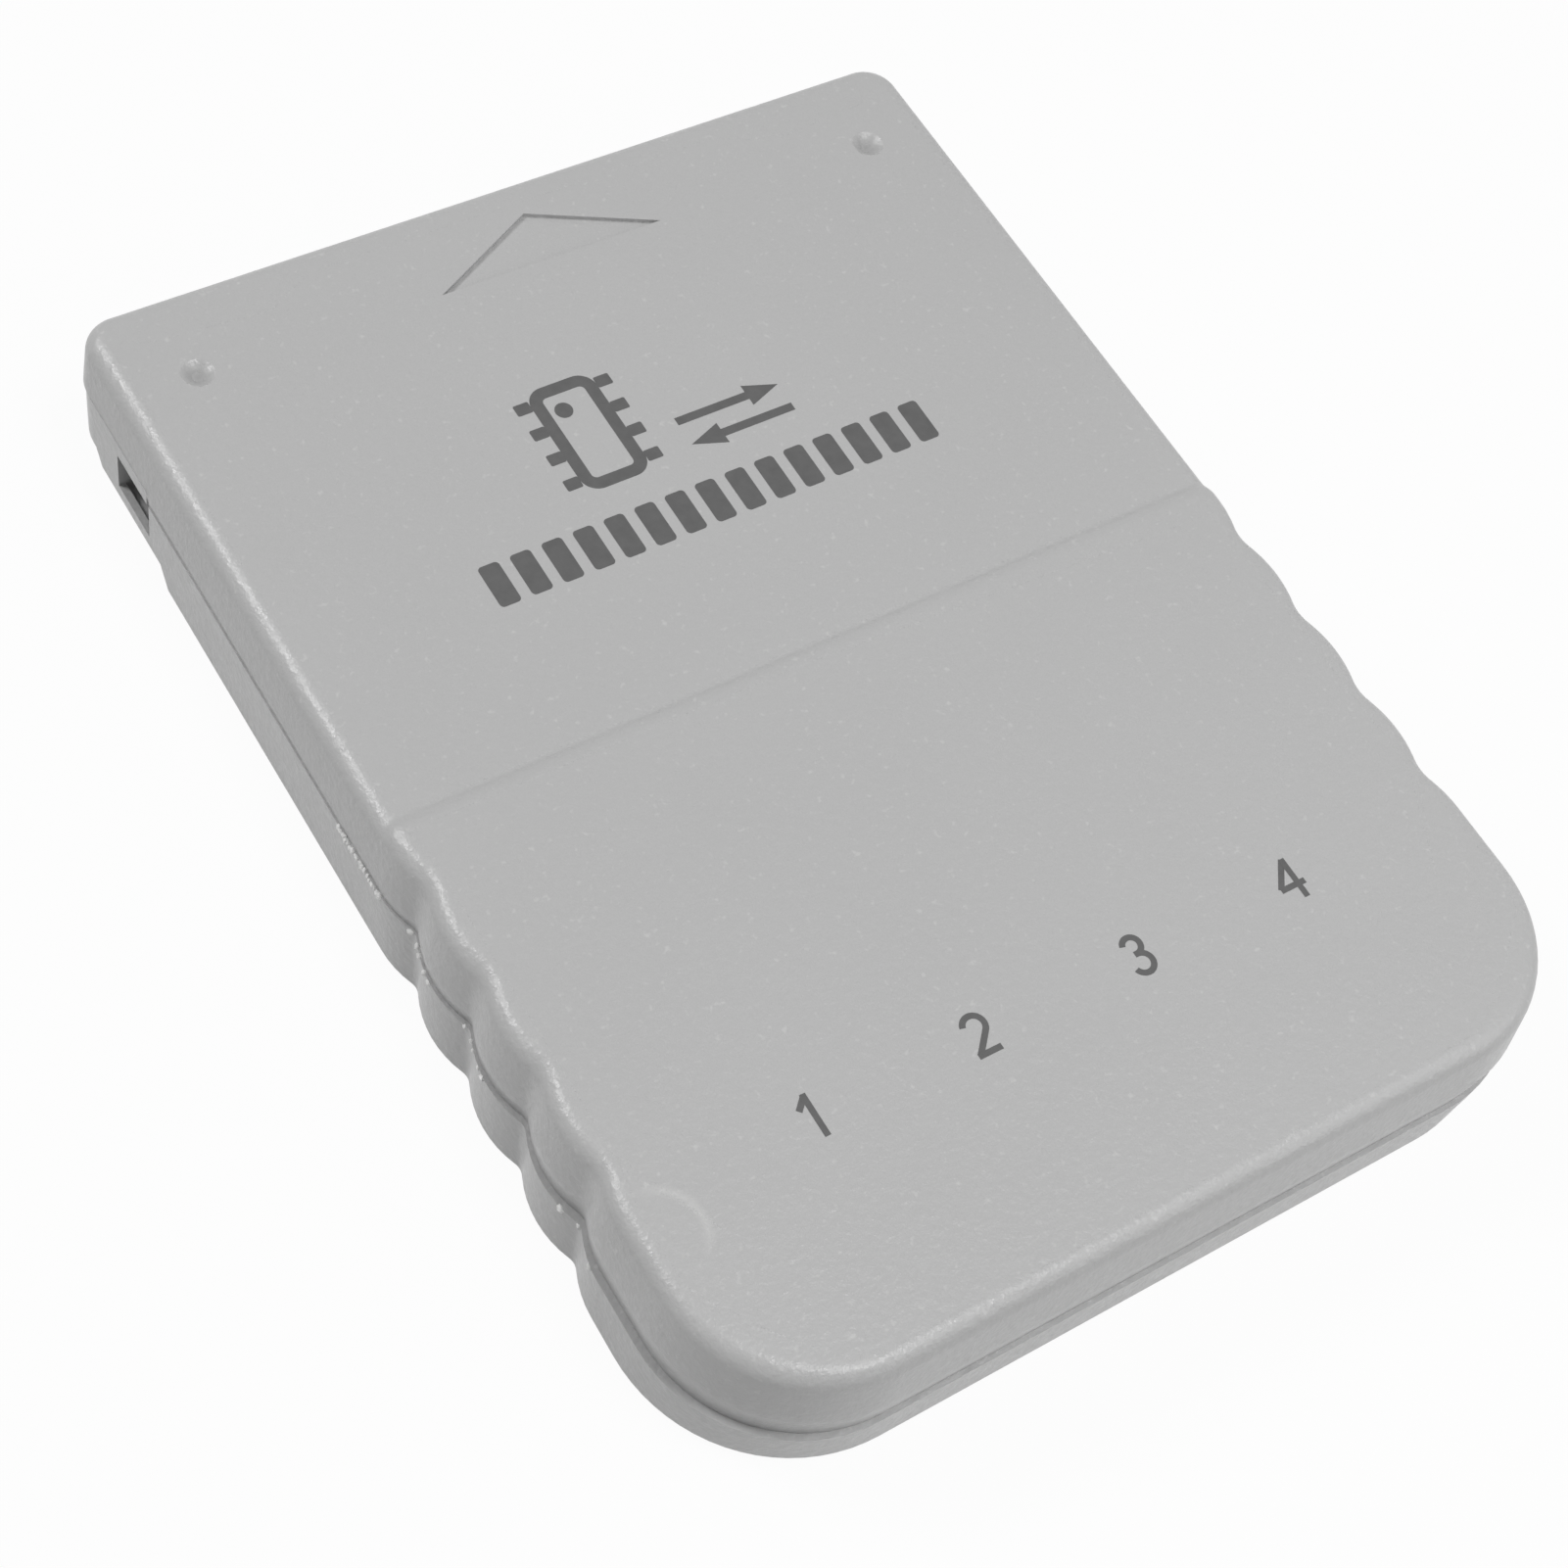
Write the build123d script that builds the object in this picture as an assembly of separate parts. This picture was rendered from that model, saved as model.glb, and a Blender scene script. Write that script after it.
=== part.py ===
from build123d import *

import math
import os

# Card as a whole. X across, +Y towards the end that goes into the slot, Z up, origin under the middle.
card_length = 57.5
card_width = 42.6
card_height = 8.0
grip_length = 29.4
step_height = 0.3

# Seam between the shells: level along the front half, falling along the grip, then level to the rear
seam_height = 4.3
rear_seam_height = 3.0
seam_fall_length = 19.0
seam_gap = 0.08

# Plan outline where the shells are widest
upper_front_radius = 2.2
lower_front_radius = 2.6
upper_rear_radius = 7.0
lower_rear_radius = 6.5
scallop_count = 4
scallop_pitch = 4.52
scallop_depth = 0.48
scallop_valley_radius = 0.6
step_to_first_valley = 3.4

# Outline of the upper shell at the top face: tighter front corners, scallops that fade
top_front_radius = 1.7
top_scallop_depth = 0.28
top_valley_radius = 2.2

# Outline of the lower shell at the base: rounder rear corners, flanks spread to the rear, scallops trailing
base_rear_radius = 7.8
base_flare = 0.95
base_trail = 0.68

# Drafts in degrees. Below its widest level the upper shell tucks in towards the seam.
upper_draft = 6.5
lower_draft = 1.5
widest_height = 4.9
tuck_draft = 7.5

# Edges
rim_radius = 0.9
base_chamfer = 0.3
step_crest_radius = 1.3
step_foot_radius = 0.4

# Marks moulded into the top face
arrow_width = 11.35
arrow_height = 2.8
arrow_depth = 0.2
arrow_from_front = 2.35
dimple_diameter = 1.5
dimple_floor_diameter = 0.5
dimple_depth = 0.3
dimple_from_front = 4.85

# Walls of the shells
side_wall = 1.4
end_wall = 1.7
roof = 1.4
floor = 1.3
cavity_front_radius = 0.8

# Lip of the lower shell inside the upper one
lip_height = 0.8
lip_thickness = 0.6
lip_clearance = 0.05

# Underside of the nose, relieved in two ramped steps for the slot's contact block
nose_length = 10.15
nose_rise = 1.05
toe_length = 3.6
toe_rise = 1.85
ramp_angle = 35.0

# Seam raised round the nose, so that the lower shell frames the notches
nose_seam_length = 8.0
nose_seam_rise = 0.8

# Latch notch in each side of the nose, with a pocket behind a low sill
notch_length = 3.05
notch_depth = 2.0
notch_bottom = 2.1
notch_from_front = 6.65
notch_sill = 0.4
notch_floor = 0.55

# Posts of the upper shell and their sockets in the lower one
post_diameter = 2.4
post_clearance = 0.05
post_end_gap = 0.2
socket_wall = 1.0
socket_floor = 0.85
rear_post_from_side = 6.8
rear_post_from_rear = 5.2

# Circuit board and its seats
board_thickness = 1.0
board_below_seam = 1.1
board_side_gap = 1.9
board_rear_from_rear = 8.5
board_play = 0.1
tongue_side_gap = 0.9
tongue_end_gap = 0.3
seat_width = 3.0
seat_from_side = 6.8
seat_from_neck = 8.75
seat_from_board_rear = 8.25
pin_diameter = 1.5
pin_height = 0.6
pin_clearance = 0.05

# Contacts along the front edge of the board, in bays with a rib between each two
bay_contact_counts = (3, 2, 3)
contact_pitch = 2.9
contact_width = 1.8
contact_length = 4.8
contact_thickness = 0.1
contact_setback = 0.4
bay_side_gap = 0.6
bay_rib_width = 1.6
bay_wall = 0.9
bay_length = 7.4

# Flat packs with gull-wing leads: length, width and height of each
lead_thickness = 0.15
lead_shoulder = 0.35
lead_foot = 0.55
pack_standoff = 0.1
memory_size = (14.0, 9.0, 1.0)
memory_lead_count = 8
memory_lead_pitch = 1.5
memory_lead_width = 0.5
controller_size = (9.2, 6.6, 1.0)
controller_lead_count = 7
controller_lead_pitch = 1.15
controller_lead_width = 0.45
regulator_size = (4.4, 2.5, 1.0)
regulator_lead_count = 3
regulator_lead_pitch = 1.5
regulator_lead_width = 0.5

# Parts without leads, with a metal cap at both ends
chip_size = (2.0, 1.25, 0.7)
cap_length = 0.4
cap_thickness = 0.04
resonator_size = (4.6, 2.0, 0.9)

# Places on the board, each small part measured from the pack that it serves
memory_to_seat = 0.4
memory_y = 9.0
regulator_from_side = 8.0
regulator_y = 9.0
controller_from_side = 13.5
controller_y = -5.5
resonator_to_controller = 3.6
regulator_to_capacitor = 5.0
memory_to_capacitor = 10.5
controller_to_capacitor = 8.0

# Lamps under the numerals of the grip, each with a resistor in front of it
lamp_count = 4
lamp_pitch = 8.0
lamp_from_rear = 10.5
lamp_lens_size = (1.2, 1.1, 0.4)
lamp_to_resistor = 3.2

# Places that follow from the sizes above
half_width = card_width / 2
y_front = card_length / 2
y_rear = -card_length / 2
y_step = y_rear + grip_length
front_height = card_height - step_height
roof_underside = front_height - roof
inner_half_width = half_width - scallop_depth - side_wall
inner_front = y_front - end_wall
inner_rear = y_rear + end_wall
inner_rear_radius = upper_rear_radius - scallop_depth - side_wall
nose_start = y_front - nose_length
nose_floor = nose_rise + floor
nose_seam = seam_height + nose_seam_rise
lip_top = seam_height + lip_height
first_lobe_y = y_step - step_to_first_valley + scallop_pitch / 2

board_half_width = inner_half_width - board_side_gap
board_underside = seam_height - board_below_seam
board_top = board_underside + board_thickness
board_front = inner_front - tongue_end_gap
board_rear = y_rear + board_rear_from_rear
bay_rear = y_front - bay_length

socket_radius = post_diameter / 2 + post_clearance
socket_bottom = nose_rise + socket_floor
front_post_y = y_front - dimple_from_front
rear_post_y = y_rear + rear_post_from_rear
lamp_y = y_rear + lamp_from_rear


def contact_bays():
    """Limits along X of each bay and the middle of each contact, worked out from the left and centred."""
    widths = [(count - 1) * contact_pitch + contact_width + 2 * bay_side_gap for count in bay_contact_counts]
    left = -(sum(widths) + bay_rib_width * (len(widths) - 1)) / 2
    bays = []
    contacts = []
    for count, width in zip(bay_contact_counts, widths):
        bays.append((left, left + width))
        middle = left + width / 2
        contacts += [middle + (number - (count - 1) / 2) * contact_pitch for number in range(count)]
        left += width + bay_rib_width
    return bays, contacts


bay_limits, contact_middles = contact_bays()
tongue_half_width = bay_limits[-1][1] + bay_wall
corner_block_x = tongue_half_width + tongue_side_gap
dimple_x = corner_block_x + socket_wall + socket_radius
corner_block_y = front_post_y - socket_radius - socket_wall
board_neck = corner_block_y - tongue_side_gap

front_posts = [(side * dimple_x, front_post_y) for side in (-1, 1)]
rear_posts = [(side * (half_width - rear_post_from_side), rear_post_y) for side in (-1, 1)]
seat_x = half_width - seat_from_side
front_seat_y = board_neck - seat_from_neck
rear_seat_y = board_rear + seat_from_board_rear
pinned_seats = [(-seat_x, rear_seat_y), (seat_x, front_seat_y)]
plain_seats = [(-seat_x, front_seat_y), (seat_x, rear_seat_y)]

memory_x = -seat_x + seat_width / 2 + memory_to_seat + memory_size[0] / 2
memory_place = (memory_x, memory_y)
regulator_place = (board_half_width - regulator_from_side, regulator_y)
controller_x = board_half_width - controller_from_side
controller_place = (controller_x, controller_y)
resonator_x = controller_x - (controller_size[0] + resonator_size[0]) / 2 - resonator_to_controller
resonator_place = (resonator_x, controller_y)
capacitor_places = [
    (regulator_place[0], regulator_y + regulator_to_capacitor),
    (memory_x - memory_size[0] / 2 + chip_size[0] / 2, memory_y - memory_to_capacitor),
    (controller_x + controller_to_capacitor, controller_y),
]
lamp_middles = [(number - (lamp_count - 1) / 2) * lamp_pitch for number in range(lamp_count)]


def block(x_limits, y_limits, z_limits):
    """Box between two limits along each axis."""
    limits = (x_limits, y_limits, z_limits)
    centre = [(low + high) / 2 for low, high in limits]
    return Pos(*centre) * Box(*[high - low for low, high in limits])


def pad(place, width, z_low, z_high):
    """Square pillar between two levels."""
    x_limits, y_limits = [(middle - width / 2, middle + width / 2) for middle in place]
    return block(x_limits, y_limits, (z_low, z_high))


def rod(place, diameter, z_low, z_high):
    """Upright cylinder between two levels."""
    return Pos(*place, (z_low + z_high) / 2) * Cylinder(diameter / 2, z_high - z_low)


def side_edges(side, z, inset, corners, scallop, flare=0.0, trail=0.0):
    """Front corner, scalloped flank and rear corner of one side at one level, drawn inwards by the inset."""
    front_corner, rear_corner = corners
    depth, valley_radius = scallop
    turned = math.radians(flare)
    # A convex lobe and a concave valley are tangent where their centres lie one span apart.
    span = (depth**2 + scallop_pitch**2 / 4) / (2 * depth)
    lean = math.asin(scallop_pitch / 2 / span)
    lobe_radius = span - valley_radius

    def on_flank(outwards, pitches):
        along = -pitches * scallop_pitch
        x = half_width - lobe_radius + outwards * math.cos(turned) - along * math.sin(turned)
        y = first_lobe_y + outwards * math.sin(turned) + along * math.cos(turned)
        return x, y - trail

    def arc(centre, radius, start, end):
        points = []
        for angle in (start, (start + end) / 2, end):
            x = centre[0] + radius * math.cos(angle)
            points.append((side * x, centre[1] + radius * math.sin(angle), z))
        return Edge.make_three_point_arc(*points)

    valley_outwards = lobe_radius - depth + valley_radius
    scallops = []
    for number in range(scallop_count + 1):
        lobe = on_flank(0, number)
        start = turned + lean if number > 0 else 0
        end = turned - lean if number < scallop_count else turned
        scallops.append(arc(lobe, lobe_radius - inset, start, end))
        if number < scallop_count:
            start = turned + math.pi - lean
            valley = on_flank(valley_outwards, number + 0.5)
            scallops.append(arc(valley, valley_radius + inset, start, start + 2 * lean))

    front_centre = (half_width - front_corner, y_front - front_corner)
    front_arc = arc(front_centre, front_corner - inset, math.pi / 2, 0)
    # The rear corner touches both the rear end and the flank where the flare has carried it.
    rear_y = y_rear + rear_corner
    flank_reach = lobe[0] * math.cos(turned) + lobe[1] * math.sin(turned) + lobe_radius
    rear_x = (flank_reach - rear_corner - rear_y * math.sin(turned)) / math.cos(turned)
    rear_arc = arc((rear_x, rear_y), rear_corner - inset, turned, -math.pi / 2)
    front_straight = Edge.make_line(front_arc @ 1, scallops[0] @ 0)
    rear_straight = Edge.make_line(scallops[-1] @ 1, rear_arc @ 0)
    return [front_arc, front_straight, *scallops, rear_straight, rear_arc]


def card_outline(*level):
    """Whole plan outline at one level as one closed wire, from the same values as a side."""
    right = side_edges(1, *level)
    left = side_edges(-1, *level)
    front = Edge.make_line(left[0] @ 0, right[0] @ 0)
    rear = Edge.make_line(right[-1] @ 1, left[-1] @ 1)
    return Wire.combine([*right, *left, front, rear])[0]


def drawn_in(height, draft):
    """How far a draft in degrees draws the outline in over a height."""
    return height * math.tan(math.radians(draft))


def upper_body():
    """Solid that is widest a little above the seam, tucked in below and drafted to the top face."""
    wide_corners = (upper_front_radius, upper_rear_radius)
    wide_scallop = (scallop_depth, scallop_valley_radius)
    tuck = drawn_in(widest_height - rear_seam_height, tuck_draft)
    top_inset = drawn_in(card_height - widest_height, upper_draft)
    top_corners = (top_front_radius, upper_rear_radius)
    sections = [
        card_outline(rear_seam_height, tuck, wide_corners, wide_scallop),
        card_outline(widest_height, 0, wide_corners, wide_scallop),
        card_outline(card_height, top_inset, top_corners, (top_scallop_depth, top_valley_radius)),
    ]
    return Solid.make_loft(sections, ruled=True)


def lower_outline(z, bevel):
    """Outline of the lower shell, drawn in by its draft and changing evenly from the seam to the base."""
    drop = seam_height - z
    inset = drawn_in(drop, lower_draft) + bevel
    share = drop / seam_height
    corners = (lower_front_radius, lower_rear_radius + share * (base_rear_radius - lower_rear_radius))
    scallop = (scallop_depth, scallop_valley_radius)
    return card_outline(z, inset, corners, scallop, share * base_flare, share * base_trail)


def lower_body(z_low):
    """Solid from the seam down to one level, bevelled round its lower edge."""
    levels = [(seam_height, 0), (z_low + base_chamfer, 0), (z_low, base_chamfer)]
    return Solid.make_loft([lower_outline(*level) for level in levels], ruled=True) & below_seam(seam_gap)


def below_seam(gap):
    """Everything more than the gap below the seam."""
    fall_end = y_step - seam_fall_length
    line = [
        (card_length, nose_seam),
        (y_front - nose_seam_length, nose_seam),
        (y_front - nose_seam_length, seam_height),
        (y_step, seam_height),
        (fall_end, rear_seam_height),
        (-card_length, rear_seam_height),
    ]
    profile = [(y, z - gap) for y, z in line] + [(-card_length, -card_height), (card_length, -card_height)]
    return extrude(Plane.YZ * make_face(Polyline(*profile, close=True)), card_width, both=True)


def behind_ramp(y_start, z_start):
    """Everything behind a plane that leans forward from a line across the underside."""
    slope = math.tan(math.radians(ramp_angle))
    profile = [(-card_length, -card_height), (-card_length, card_height)]
    profile += [(y_start + slope * (z - z_start), z) for z in (card_height, -card_height)]
    return extrude(Plane.YZ * make_face(Polyline(*profile, close=True)), card_width, both=True)


def cavity(growth, z_low, z_high, front=inner_front):
    """Room inside the walls between two levels, widened all round by the growth."""
    length = front - inner_rear + 2 * growth
    plan = Pos(0, (front + inner_rear) / 2) * Rectangle(2 * (inner_half_width + growth), length)
    plan = fillet(plan.vertices().sort_by(Axis.Y)[:2], inner_rear_radius + growth)
    plan = fillet(plan.vertices().sort_by(Axis.Y)[-2:], cavity_front_radius + growth)
    return Pos(0, 0, z_low) * extrude(plan, z_high - z_low)


def step_cutter():
    """What lies above the lower front half, with an S-shaped riser tangent to both levels."""
    turn = math.acos(1 - step_height / (step_crest_radius + step_foot_radius))
    run = (step_crest_radius + step_foot_radius) * math.sin(turn)
    crest = Vector(0, y_step - run, card_height)
    foot = Vector(0, y_step, front_height)

    def past_crest(angle):
        return crest + Vector(0, math.sin(angle), math.cos(angle) - 1) * step_crest_radius

    def before_foot(angle):
        return foot + Vector(0, -math.sin(angle), 1 - math.cos(angle)) * step_foot_radius

    beyond_front = foot + Vector(0, card_length, 0)
    overhead = Vector(0, 0, card_height)
    profile = [
        Edge.make_three_point_arc(crest, past_crest(turn / 2), past_crest(turn)),
        Edge.make_three_point_arc(before_foot(turn), before_foot(turn / 2), foot),
        Edge.make_line(foot, beyond_front),
        Edge.make_line(beyond_front, beyond_front + overhead),
        Edge.make_line(beyond_front + overhead, crest + overhead),
        Edge.make_line(crest + overhead, crest),
    ]
    return extrude(Face(Wire.combine(profile)[0]), card_width, dir=(1, 0, 0), both=True)


def arrow_cutter():
    """Sunken arrow that points into the slot, with a level floor."""
    tip = y_front - arrow_from_front
    base = tip - arrow_height
    corners = [(-arrow_width / 2, base), (0, tip), (arrow_width / 2, base)]
    plan = make_face(Polyline(*corners, close=True))
    return Pos(0, 0, front_height - arrow_depth) * extrude(plan, card_height)


def upper_shell():
    """Top half: raised grip, scalloped flanks, rounded rim, posts and hold-downs for the board."""
    shell = upper_body() - step_cutter()
    tops = [face for face in shell.faces() if face.bounding_box().min.Z > front_height - step_height]
    top_edges = [edge for face in tops for edge in face.edges()]
    # An edge between two stretches of the top face is listed twice. The rim is what is listed once.
    rim = [edge for edge in top_edges if sum(edge.is_same(other) for other in top_edges) == 1]
    shell = fillet(rim, rim_radius) - below_seam(0)
    shell -= cavity(0, rear_seam_height, roof_underside)
    shell -= cavity(lip_thickness + lip_clearance, rear_seam_height, lip_top)
    inside_roof = roof_underside + roof / 2
    for place in front_posts + rear_posts:
        shell += rod(place, post_diameter, socket_bottom + post_end_gap, inside_roof)
    for place in plain_seats:
        shell += pad(place, seat_width, board_top + board_play, inside_roof)
    for place in front_posts:
        dimple = Cone(dimple_floor_diameter / 2, dimple_diameter / 2, dimple_depth)
        shell -= Pos(*place, front_height - dimple_depth / 2) * dimple
    return shell - arrow_cutter()


def lower_shell():
    """Bottom half: flanks, relieved nose with notches and contact bays, lip, sockets and board seats."""
    behind_nose = behind_ramp(nose_start, 0)
    behind_toe = behind_ramp(y_front - toe_length, nose_rise)
    shell = lower_body(0) & behind_nose
    shell += (lower_body(nose_rise) & behind_toe) - behind_nose
    shell += lower_body(toe_rise) - behind_toe
    rim_y = (y_front - nose_seam_length, y_front)
    nose_rim = block((-half_width, half_width), rim_y, (seam_height - seam_gap, nose_seam - seam_gap))
    shell += fillet(nose_rim.edges().filter_by(Axis.Z).sort_by(Axis.Y)[-2:], lower_front_radius)

    shell -= cavity(0, floor, seam_height, front=nose_start - floor)
    shell -= cavity(0, nose_floor, nose_seam)
    lip_foot = rear_seam_height - lip_height
    shell += cavity(lip_thickness, lip_foot, lip_top) - cavity(0, lip_foot, lip_top)

    # Corner blocks carry the front sockets and back the notches.
    inside_front_wall = inner_front + end_wall / 2
    inside_nose_floor = nose_floor - floor / 2
    for side in (-1, 1):
        x_limits = sorted((side * corner_block_x, side * (inner_half_width + lip_thickness)))
        shell += block(x_limits, (corner_block_y, inside_front_wall), (inside_nose_floor, seam_height))
    for place in rear_posts:
        shell += pad(place, 2 * (socket_radius + socket_wall), floor / 2, seam_height)
    for place in front_posts + rear_posts:
        shell -= rod(place, 2 * socket_radius, socket_bottom, lip_top)

    # The bay block carries the tongue of the board; the bays open to the front and to the underside.
    shell += block(
        (-tongue_half_width, tongue_half_width),
        (bay_rear - bay_wall, inside_front_wall),
        (inside_nose_floor, board_underside),
    )
    for x_limits in bay_limits:
        shell -= block(x_limits, (bay_rear, card_length), (-card_height, board_underside))

    notch_y = y_front - notch_from_front
    notch_limits = (notch_y - notch_length / 2, notch_y + notch_length / 2)
    for side in (-1, 1):
        x_limits = sorted((side * (half_width - notch_depth), side * card_width))
        shell -= block(x_limits, notch_limits, (notch_bottom, seam_height))
        x_limits = sorted((side * (half_width - notch_depth), side * (half_width - notch_sill)))
        shell -= block(x_limits, notch_limits, (nose_rise + notch_floor, seam_height))

    for place in pinned_seats + plain_seats:
        shell += pad(place, seat_width, floor / 2, board_underside)
    for place in pinned_seats:
        shell += rod(place, pin_diameter, board_underside - floor, board_top + pin_height)
    return shell


def circuit_board():
    """Board with a tongue between the corner blocks and a hole for each seat pin."""
    right = [
        (board_half_width, board_rear),
        (board_half_width, board_neck),
        (tongue_half_width, board_neck),
        (tongue_half_width, board_front),
    ]
    left = [(-x, y) for x, y in reversed(right)]
    plan = make_face(Polyline(*right, *left, close=True))
    for place in pinned_seats:
        plan -= Pos(*place) * Circle(pin_diameter / 2 + pin_clearance)
    return Pos(0, 0, board_underside) * extrude(plan, board_thickness)


def edge_contacts():
    """Plated strips under the tongue, one in each place of the bays."""
    front = board_front - contact_setback
    strips = []
    for middle in contact_middles:
        x_limits = (middle - contact_width / 2, middle + contact_width / 2)
        z_limits = (board_underside - contact_thickness, board_underside)
        strips.append(block(x_limits, (front - contact_length, front), z_limits))
    return Compound(children=strips)


def on_board(place, size, standoff=0.0):
    """Box of a part that stands on the board."""
    return Pos(*place, board_top + standoff + size[2] / 2) * Box(*size)


def gull_wing_leads(place, size, count, pitch, width):
    """Leads along both long sides of a flat pack, sloping from the middle of its flank to feet on the board."""
    flank = size[1] / 2
    bend = flank + lead_shoulder
    toe = bend + lead_foot
    middle = pack_standoff + size[2] / 2
    profile = [
        (flank, middle + lead_thickness / 2),
        (bend, lead_thickness),
        (toe, lead_thickness),
        (toe, 0),
        (bend - lead_thickness, 0),
        (flank, middle - lead_thickness / 2),
    ]
    lead = extrude(Plane.YZ * make_face(Polyline(*profile, close=True)), width / 2, both=True)
    leads = []
    for turn in (0, 180):
        for number in range(count):
            along = (number - (count - 1) / 2) * pitch
            leads.append(Pos(*place, board_top) * Rot(0, 0, turn) * Pos(along, 0, 0) * lead)
    return Compound(children=leads)


def capped_chip(place, size):
    """Small ceramic part whose two metal caps stand on the board."""
    body = on_board(place, (size[0], size[1], size[2] - 2 * cap_thickness), cap_thickness)
    for side in (-1, 1):
        cap_place = (place[0] + side * (size[0] - cap_length) / 2, place[1])
        body += on_board(cap_place, (cap_length, size[1] + 2 * cap_thickness, size[2]))
    return body


def lamp(place):
    """Capped chip with a lens on its top face."""
    return capped_chip(place, chip_size) + on_board(place, lamp_lens_size, chip_size[2] - cap_thickness)


parts = {
    "upper_shell": upper_shell(),
    "lower_shell": lower_shell(),
    "circuit_board": circuit_board(),
    "edge_contacts": edge_contacts(),
    "memory_chip": on_board(memory_place, memory_size, pack_standoff),
    "memory_leads": gull_wing_leads(
        memory_place, memory_size, memory_lead_count, memory_lead_pitch, memory_lead_width
    ),
    "controller_chip": on_board(controller_place, controller_size, pack_standoff),
    "controller_leads": gull_wing_leads(
        controller_place, controller_size, controller_lead_count, controller_lead_pitch, controller_lead_width
    ),
    "regulator": on_board(regulator_place, regulator_size, pack_standoff),
    "regulator_leads": gull_wing_leads(
        regulator_place, regulator_size, regulator_lead_count, regulator_lead_pitch, regulator_lead_width
    ),
    "resonator": capped_chip(resonator_place, resonator_size),
}
for number, place in enumerate(capacitor_places, start=1):
    parts[f"capacitor_{number}"] = capped_chip(place, chip_size)
for number, middle in enumerate(lamp_middles, start=1):
    parts[f"lamp_{number}"] = lamp((middle, lamp_y))
    parts[f"resistor_{number}"] = capped_chip((middle, lamp_y + lamp_to_resistor), chip_size)

os.makedirs("parts", exist_ok=True)
for name, shape in parts.items():
    export_step(shape, f"parts/{name}.step")
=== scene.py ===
import math
import random

import bmesh
import bpy
from bpy.props import (
    FloatProperty,
    FloatVectorProperty,
    IntProperty,
    PointerProperty,
)
from bpy.types import Operator, Panel, PropertyGroup
from mathutils import Matrix, Vector
from mathutils.bvhtree import BVHTree


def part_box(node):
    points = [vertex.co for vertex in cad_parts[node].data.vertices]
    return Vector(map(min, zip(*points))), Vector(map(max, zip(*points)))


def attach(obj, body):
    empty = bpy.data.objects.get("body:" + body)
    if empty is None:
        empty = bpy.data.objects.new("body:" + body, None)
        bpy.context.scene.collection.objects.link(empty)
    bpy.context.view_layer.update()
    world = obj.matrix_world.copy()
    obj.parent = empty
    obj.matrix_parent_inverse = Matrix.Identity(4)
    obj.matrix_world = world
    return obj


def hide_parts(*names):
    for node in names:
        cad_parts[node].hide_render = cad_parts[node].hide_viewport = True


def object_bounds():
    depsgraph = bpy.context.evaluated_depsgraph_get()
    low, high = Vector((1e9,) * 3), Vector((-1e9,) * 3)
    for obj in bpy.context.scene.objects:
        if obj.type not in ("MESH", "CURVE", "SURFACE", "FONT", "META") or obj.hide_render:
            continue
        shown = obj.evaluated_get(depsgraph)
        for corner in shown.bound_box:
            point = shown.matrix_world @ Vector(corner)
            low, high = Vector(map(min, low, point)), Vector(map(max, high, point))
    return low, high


bl_info = {
    "name": "Memory card dressing",
    "version": (1, 0, 0),
    "blender": (4, 5, 0),
    "location": "View3D > Sidebar > Card",
    "description": "Skins, print and finishes for a moulded memory card, with a small studio",
    "category": "Object",
}

MM = 0.001
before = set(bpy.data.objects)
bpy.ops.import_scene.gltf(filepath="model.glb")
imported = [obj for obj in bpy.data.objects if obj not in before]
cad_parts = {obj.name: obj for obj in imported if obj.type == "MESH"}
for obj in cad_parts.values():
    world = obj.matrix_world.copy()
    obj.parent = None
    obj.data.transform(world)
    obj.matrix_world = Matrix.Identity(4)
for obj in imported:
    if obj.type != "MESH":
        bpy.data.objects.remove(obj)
cad_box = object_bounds()
STEP_HEIGHT = 0.3 * MM
GRIP_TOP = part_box("upper_shell")[1].z
FRONT_TOP = GRIP_TOP - STEP_HEIGHT

# Marks in the upper shell: the ejector's ring, a painted highlight on one side, the dimple on the right,
# where shade is painted, and the share of painted shade over the seam
RING_MIDDLE = (-19.95 * MM, -19.78 * MM)
RING_RADIUS = 1.84 * MM
DIMPLE_MIDDLE = (17.4 * MM, 23.9 * MM)
SEAM_PAINTED_SHADE = 0.5

# Edges sharper than this stay sharp in the skins, and this much of the gap is left open in the seam
SHARP_ANGLE = math.radians(28)
HAIR_LINE = 0.003 * MM
LEDGE_TOLERANCE = 0.002 * MM

# Pen strokes of each numeral on a body 2 mm high, in millimetres from its middle. A stroke is its start,
# its heading in degrees and its moves: a length to run, or a radius and an angle to turn through.
NUMERAL_BODY = 2.0
NUMERAL_STROKES = (
    (
        ((0.22, 0.92), 224, [(0.76,)]),
        ((0.18, 1.0), 270, [(2.0,)]),
    ),
    (
        ((-0.476, 0.486), 75, [(0.49, -208), (1.24,)]),
        ((-0.58, -0.88), 0, [(1.14,)]),
    ),
    (
        ((-0.389, 0.577), 74, [(0.405, -254), (0.12,)]),
        ((-0.1, 0.06), 0, [(0.1,), (0.465, -252)]),
    ),
    (
        ((0.3, 0.96), 234, [(1.52,)]),
        ((-0.62, -0.3), 0, [(1.28,)]),
        ((0.3, 1.0), 270, [(2.0,)]),
    ),
)

# Where thin flash stands in the seam of the left flank, in millimetres along the card
FLASH_RUN = (2.9, -0.6)
FLASH_SPOTS = (-2.5, -3.2, -3.6, -4.4, -4.8, -7.1, -7.85, -8.2, -8.9, -9.3, -15.5, -16.4, -18.1)


def hex_colour(code):
    """Linear RGBA of an sRGB hex colour."""
    channels = [int(code[i : i + 2], 16) / 255 for i in (0, 2, 4)]
    linear = [c / 12.92 if c <= 0.04045 else ((c + 0.055) / 1.055) ** 2.4 for c in channels]
    return (*linear, 1.0)


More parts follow.
